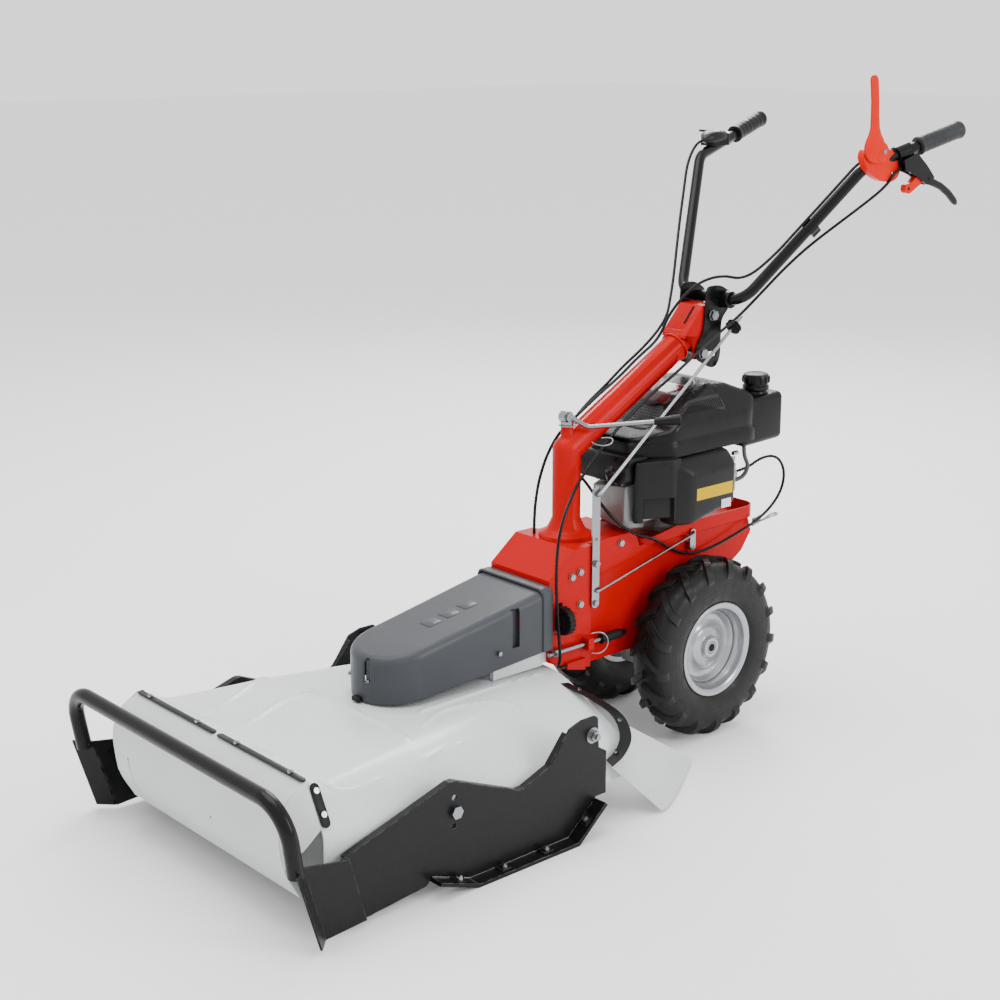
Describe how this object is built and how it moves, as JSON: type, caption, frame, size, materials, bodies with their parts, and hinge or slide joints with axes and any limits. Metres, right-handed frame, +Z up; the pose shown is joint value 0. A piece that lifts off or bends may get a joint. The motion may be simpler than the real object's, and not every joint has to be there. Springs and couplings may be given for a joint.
{
  "type": "brush mower",
  "caption": "walk-behind two-wheeled brush mower with a front cutting deck on skid runners, an engine over the axle and a tilting handlebar",
  "frame": {"origin": "on the ground under the middle of the whole machine's box", "axes": "+Z up, the cutting deck points to -Y, the operator stands at +Y, +X is the machine's left-hand side"},
  "size_m": [0.822, 2.068, 1.509],
  "materials": {
    "red_paint": "satin",
    "black_paint": "satin",
    "plate_paint": "satin",
    "steel": "zinc plated",
    "black_steel": "satin, worn",
    "cast_aluminium": "cast",
    "head_metal": "satin",
    "hand_lever_black": "satin",
    "bronze": "machined",
    "pulley_iron": "machined",
    "rim_silver": "silver",
    "tyre": "moulded",
    "belt_rubber": "matt",
    "black_rubber": "matt",
    "hose_grey": "satin",
    "deck_white": "moulded",
    "cover_slate": "moulded",
    "flap_pale": "satin sheet",
    "strip_black": "satin",
    "flap_milky": "translucent",
    "engine_black": "moulded",
    "tank_black": "moulded",
    "throttle_plastic": "moulded"
  },
  "bodies": {
    "chassis": {"chassis_case": "red_paint", "engine_tray": "red_paint", "gearbox_case": "cast_aluminium", "column": "red_paint", "chassis_bolts": "steel", "rod_guide": "black_rubber", "engine_block": "cast_aluminium", "head_cover": "head_metal", "engine_shroud": "engine_black", "fuel_tank": "tank_black", "air_cleaner_case": "engine_black", "air_cleaner_cover": "engine_black", "carburettor": "cast_aluminium", "fuel_hose": "hose_grey", "drive_belt": "belt_rubber", "deck_shell": "deck_white", "deck_bracket": "black_paint", "spindle_housing": "cast_aluminium", "belt_cover": "cover_slate", "front_flap": "flap_pale", "flap_strips": "strip_black", "deck_screws": "steel", "rear_flap": "flap_milky", "clutch_cable": "black_rubber", "throttle_cable": "black_rubber", "engage_cable": "black_rubber"},
    "runner_frame": {"side_plates": "plate_paint", "front_bar": "black_paint", "skids": "black_steel", "frame_bolts": "steel"},
    "drive_axle": {"axle_shaft": "steel", "worm_wheel": "bronze", "hub_pins": "steel", "rims": "rim_silver", "tyres": "tyre"},
    "worm": {"worm_shaft": "steel"},
    "crank": {"crankshaft": "steel", "engine_pulley": "pulley_iron"},
    "rotor": {"blade_spindle": "steel", "rotor_pulley": "pulley_iron", "cutting_blade": "black_steel"},
    "fuel_cap": {"fuel_cap": "tank_black"},
    "starter": {"starter_grip": "engine_black"},
    "clamp_knob": {"clamp_knob": "black_paint"},
    "lock": {"lock_rod": "steel", "lock_knob": "black_rubber"},
    "handlebar": {"handle_bracket": "black_paint", "handlebar": "black_paint", "grips": "black_rubber", "lever_housing": "red_paint", "control_brackets": "black_paint"},
    "engage_lever": {"engage_lever": "red_paint"},
    "hand_lever": {"hand_lever": "hand_lever_black"},
    "throttle_lever": {"throttle_lever": "throttle_plastic"},
    "gear": {"gear_lever": "steel", "gear_grip": "black_rubber"},
    "front_strap": {"strap_lever": "steel"},
    "push_rod": {"push_rod": "steel"},
    "link": {"link_rod": "steel"},
    "rear_strap": {"rear_strap": "steel"}
  },
  "joints": [
    {"name": "axle_spin", "type": "hinge", "parent": "chassis", "child": "drive_axle", "pos_m": [0, 0.32831, 0.212], "axis": [1, 0, 0], "continuous": true},
    {"name": "worm_spin", "type": "hinge", "parent": "chassis", "child": "worm", "pos_m": [0, 0.32831, 0.2785], "axis": [0, 1, 0], "continuous": true},
    {"name": "rotor_spin", "type": "hinge", "parent": "chassis", "child": "rotor", "pos_m": [0, -0.47169, 0.338], "axis": [0, 0, 1], "continuous": true},
    {"name": "crank_spin", "type": "hinge", "parent": "chassis", "child": "crank", "pos_m": [0, 0.34831, 0.338], "axis": [0, 0, 1], "continuous": true},
    {"name": "handlebar_tilt", "type": "hinge", "parent": "chassis", "child": "handlebar", "pos_m": [0, 0.44231, 0.966], "axis": [1, 0, 0], "range_deg": [-28, 0], "deforming": ["clutch_cable", "throttle_cable", "engage_cable"]},
    {"name": "engage_lever_swing", "type": "hinge", "parent": "handlebar", "child": "engage_lever", "pos_m": [0.281, 0.73331, 1.338], "axis": [1, 0, 0], "range_deg": [-70, 0]},
    {"name": "hand_lever_squeeze", "type": "hinge", "parent": "handlebar", "child": "hand_lever", "pos_m": [0.283, 0.90031, 1.268], "axis": [1, 0, 0], "range_deg": [0, 25], "stiffness_Nm_per_rad": 2, "springref_deg": -17.19},
    {"name": "throttle_turn", "type": "hinge", "parent": "handlebar", "child": "throttle_lever", "pos_m": [-0.269, 0.78131, 1.355], "axis": [0, 0, 1], "range_deg": [-30, 30]},
    {"name": "gear_swing", "type": "hinge", "parent": "chassis", "child": "gear", "pos_m": [0, 0.02231, 0.77], "axis": [0, 0, 1], "range_deg": [-24, 6]},
    {"name": "strap_swing", "type": "hinge", "parent": "chassis", "child": "front_strap", "pos_m": [0.1, 0.01831, 0.464], "axis": [1, 0, 0], "range_deg": [-2, 8]},
    {"name": "rod_follow", "type": "hinge", "parent": "front_strap", "child": "push_rod", "pos_m": [0.1, 0.01831, 0.622], "axis": [1, 0, 0], "range_deg": [-9.5, 4]},
    {"name": "link_follow", "type": "hinge", "parent": "front_strap", "child": "link", "pos_m": [0.1, 0.01831, 0.4], "axis": [1, 0, 0], "range_deg": [-8.5, 4]},
    {"name": "rear_strap_swing", "type": "hinge", "parent": "chassis", "child": "rear_strap", "pos_m": [0.0945, 0.34031, 0.438], "axis": [1, 0, 0], "range_deg": [-15.5, 7]},
    {"name": "knob_turn", "type": "hinge", "parent": "chassis", "child": "clamp_knob", "pos_m": [0.113, -0.08869, 0.358], "axis": [0, 1, 0], "continuous": true},
    {"name": "lock_slide", "type": "slide", "parent": "chassis", "child": "lock", "axis": [0, 1, 0], "range_m": [0, 0.012], "stiffness_N_per_m": 400, "springref_m": -0.01},
    {"name": "fuel_cap_turn", "type": "hinge", "parent": "chassis", "child": "fuel_cap", "pos_m": [0.075, 0.56831, 0.8], "axis": [0, 0, 1], "range_deg": [0, 270]},
    {"name": "starter_pull", "type": "slide", "parent": "chassis", "child": "starter", "axis": [-1, 0, 0], "range_m": [0, 0.5], "stiffness_N_per_m": 20, "springref_m": -0.1},
    {"name": "frame_tilt", "type": "hinge", "parent": "chassis", "child": "runner_frame", "pos_m": [0, -0.25369, 0.218], "axis": [1, 0, 0], "range_deg": [-4, 4]}
  ],
  "couplings": [
    {"joint": "worm_spin", "follows": "axle_spin", "ratio": 20},
    {"joint": "crank_spin", "follows": "rotor_spin", "ratio": 1.302},
    {"joint": "rod_follow", "follows": "strap_swing", "ratio": -1.16},
    {"joint": "link_follow", "follows": "strap_swing", "ratio": -1},
    {"joint": "rear_strap_swing", "follows": "strap_swing", "ratio": -1.882}
  ]
}
